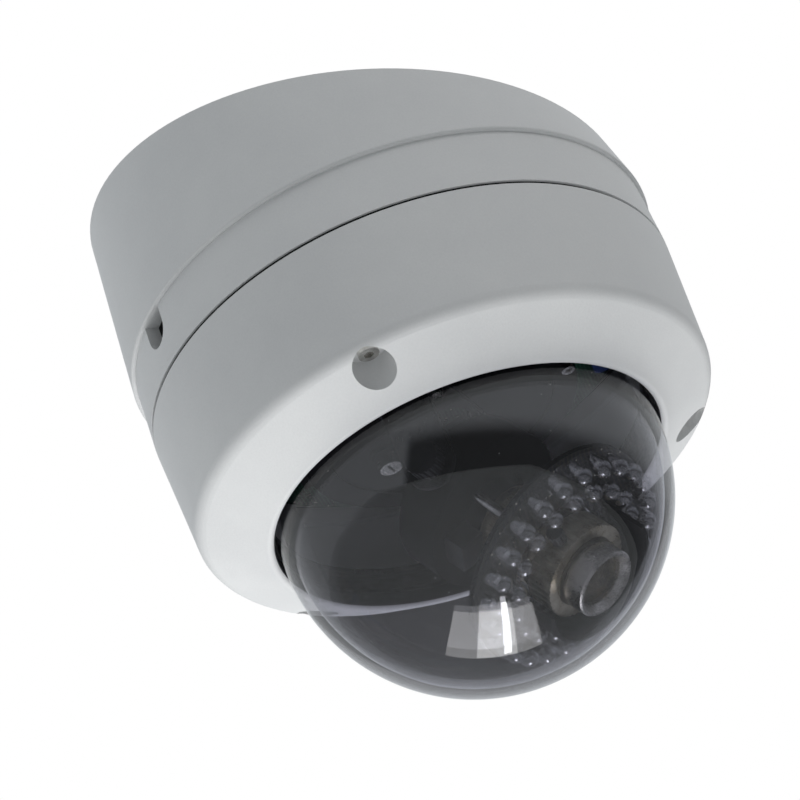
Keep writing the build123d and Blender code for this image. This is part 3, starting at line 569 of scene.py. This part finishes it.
# ---------------------------------------------------------------- the main board's underside
BOARD = 40.0                            # height of the underside
BOARD_HOLE, BOARD_EDGE = 14.0, 57.5     # radii between which small parts stand
CANS = ((46.0, -6.5), (44.5, 4.5), (38.0, -13.0), (-10.0, -50.0), (-1.0, -51.0))
CONNECTORS = ((12.0, 50.0, 0), (0.0, 51.5, 0), (54.4, -15.5, 90), (54.4, 12.0, 90))
LARGE_PARTS = ((47, -16.5, 6.5), (-44, 15, 6.5), (24, -47, 6.5), (-24, -34, 17), (-48, -4, 8.5),
               (13, -44, 8.5), (34, 30, 8.5), (22, 38, 8.5), (-20, 44, 12), (-53, 8, 6))

random.seed(7)
keep_out = [(*can, 5.5) for can in CANS]            # x, y and radius of what is there
keep_out += [(x, y, 7) for x, y, _ in CONNECTORS]
keep_out += LARGE_PARTS
keep_out += [(*polar(52.0, a), 4.5) for a in (30, 150, 210, 330)]
keep_out += [(*polar(33.0, a), 5.5) for a in (90, 210, 330)]


def free_place(room):
    """A random spot on the board, clear of what is there, which it then holds."""
    while True:
        x, y = polar(random.uniform(BOARD_HOLE, BOARD_EDGE - room), random.uniform(0, 360))
        if all(math.hypot(x - kx, y - ky) > kr + room for kx, ky, kr in keep_out):
            keep_out.append((x, y, room))
            return x, y


CHIPS, CHIP_ROOM, LEADS_A_SIDE, LEAD_PITCH = 7, 4.4, 4, 1.27
CERAMICS, CERAMIC_ROOM = 46, 1.5

packages = Shape("board_small_chips", housing_at, "housing", "black_chip")
leads = Shape("board_chip_leads", housing_at, "housing", "stainless")
for k in range(CHIPS):
    x, y = free_place(CHIP_ROOM)
    turn = random.choice((0, 90))
    packages.brick((x, y, BOARD - 0.95), (5.0, 3.9, 1.4), turn, 0.15)
    for i in range(LEADS_A_SIDE):
        for side in (-1, 1):
            offset = turned(-1.9 + LEAD_PITCH * i, side * 2.4, turn)
            leads.brick((x + offset.x, y + offset.y, BOARD - 0.35), (0.42, 1.1, 0.5), turn, 0.08)
ceramics = Shape("board_ceramic_capacitors", housing_at, "housing", "brown_sleeve")
for k in range(CERAMICS):
    x, y = free_place(CERAMIC_ROOM)
    turn = random.choice((0, 45, 90))
    target, height = (packages, 0.5) if k % 2 else (ceramics, 0.85)
    target.brick((x, y, BOARD - height / 2), (1.1, 0.85, height), turn, 0.06)
    for side in (-1, 1):
        offset = turned(side * 0.75, 0, turn)
        leads.brick((x + offset.x, y + offset.y, BOARD - height / 2),
                    (0.4, 0.9, height + 0.04), turn, 0.08)
packages.finish()
leads.finish()
ceramics.finish()

CAN_END = BOARD - 8.25

cans = Shape("capacitor_tops", housing_at, "housing", "cell_metal")
for x, y in CANS:
    cans.revolved([(3.25, CAN_END), (3.25, CAN_END - 0.09), (3.05, CAN_END - 0.13),
                   (0.0, CAN_END - 0.13)], (x, y))
    for turn in (30, 120):
        cans.brick((x, y, CAN_END - 0.14), (4.6, 0.28, 0.06), turn, 0)
cans.finish()

PINS, PIN_PITCH = 4, 1.6

pins = Shape("connector_pins", housing_at, "housing", "stainless")
for x, y, turn in CONNECTORS:
    for i in range(PINS):
        offset = turned(-2.4 + PIN_PITCH * i, 0, turn)
        pins.brick((x + offset.x, y + offset.y, BOARD - 3.2), (0.5, 0.5, 3.6), turn, 0.08)
pins.finish()

# ---------------------------------------------------------------- floor
FLOOR_Z, FLOOR_SIZE = -1.35, 6.0

floor_mesh = bpy.data.meshes.new("floor")
floor_mesh.from_pydata([(x * FLOOR_SIZE, y * FLOOR_SIZE, FLOOR_Z)
                        for x, y in ((-1, -1), (1, -1), (1, 1), (-1, 1))], [], [(0, 1, 2, 3)])
floor = bpy.data.objects.new("floor", floor_mesh)
bpy.context.collection.objects.link(floor)
pale_floor = plain("pale_floor", (0.86, 0.86, 0.85), (0.82, 0.82, 0.81), 0.7, 3.0, 0.2, 200.0)
floor_mesh.materials.append(pale_floor.material)
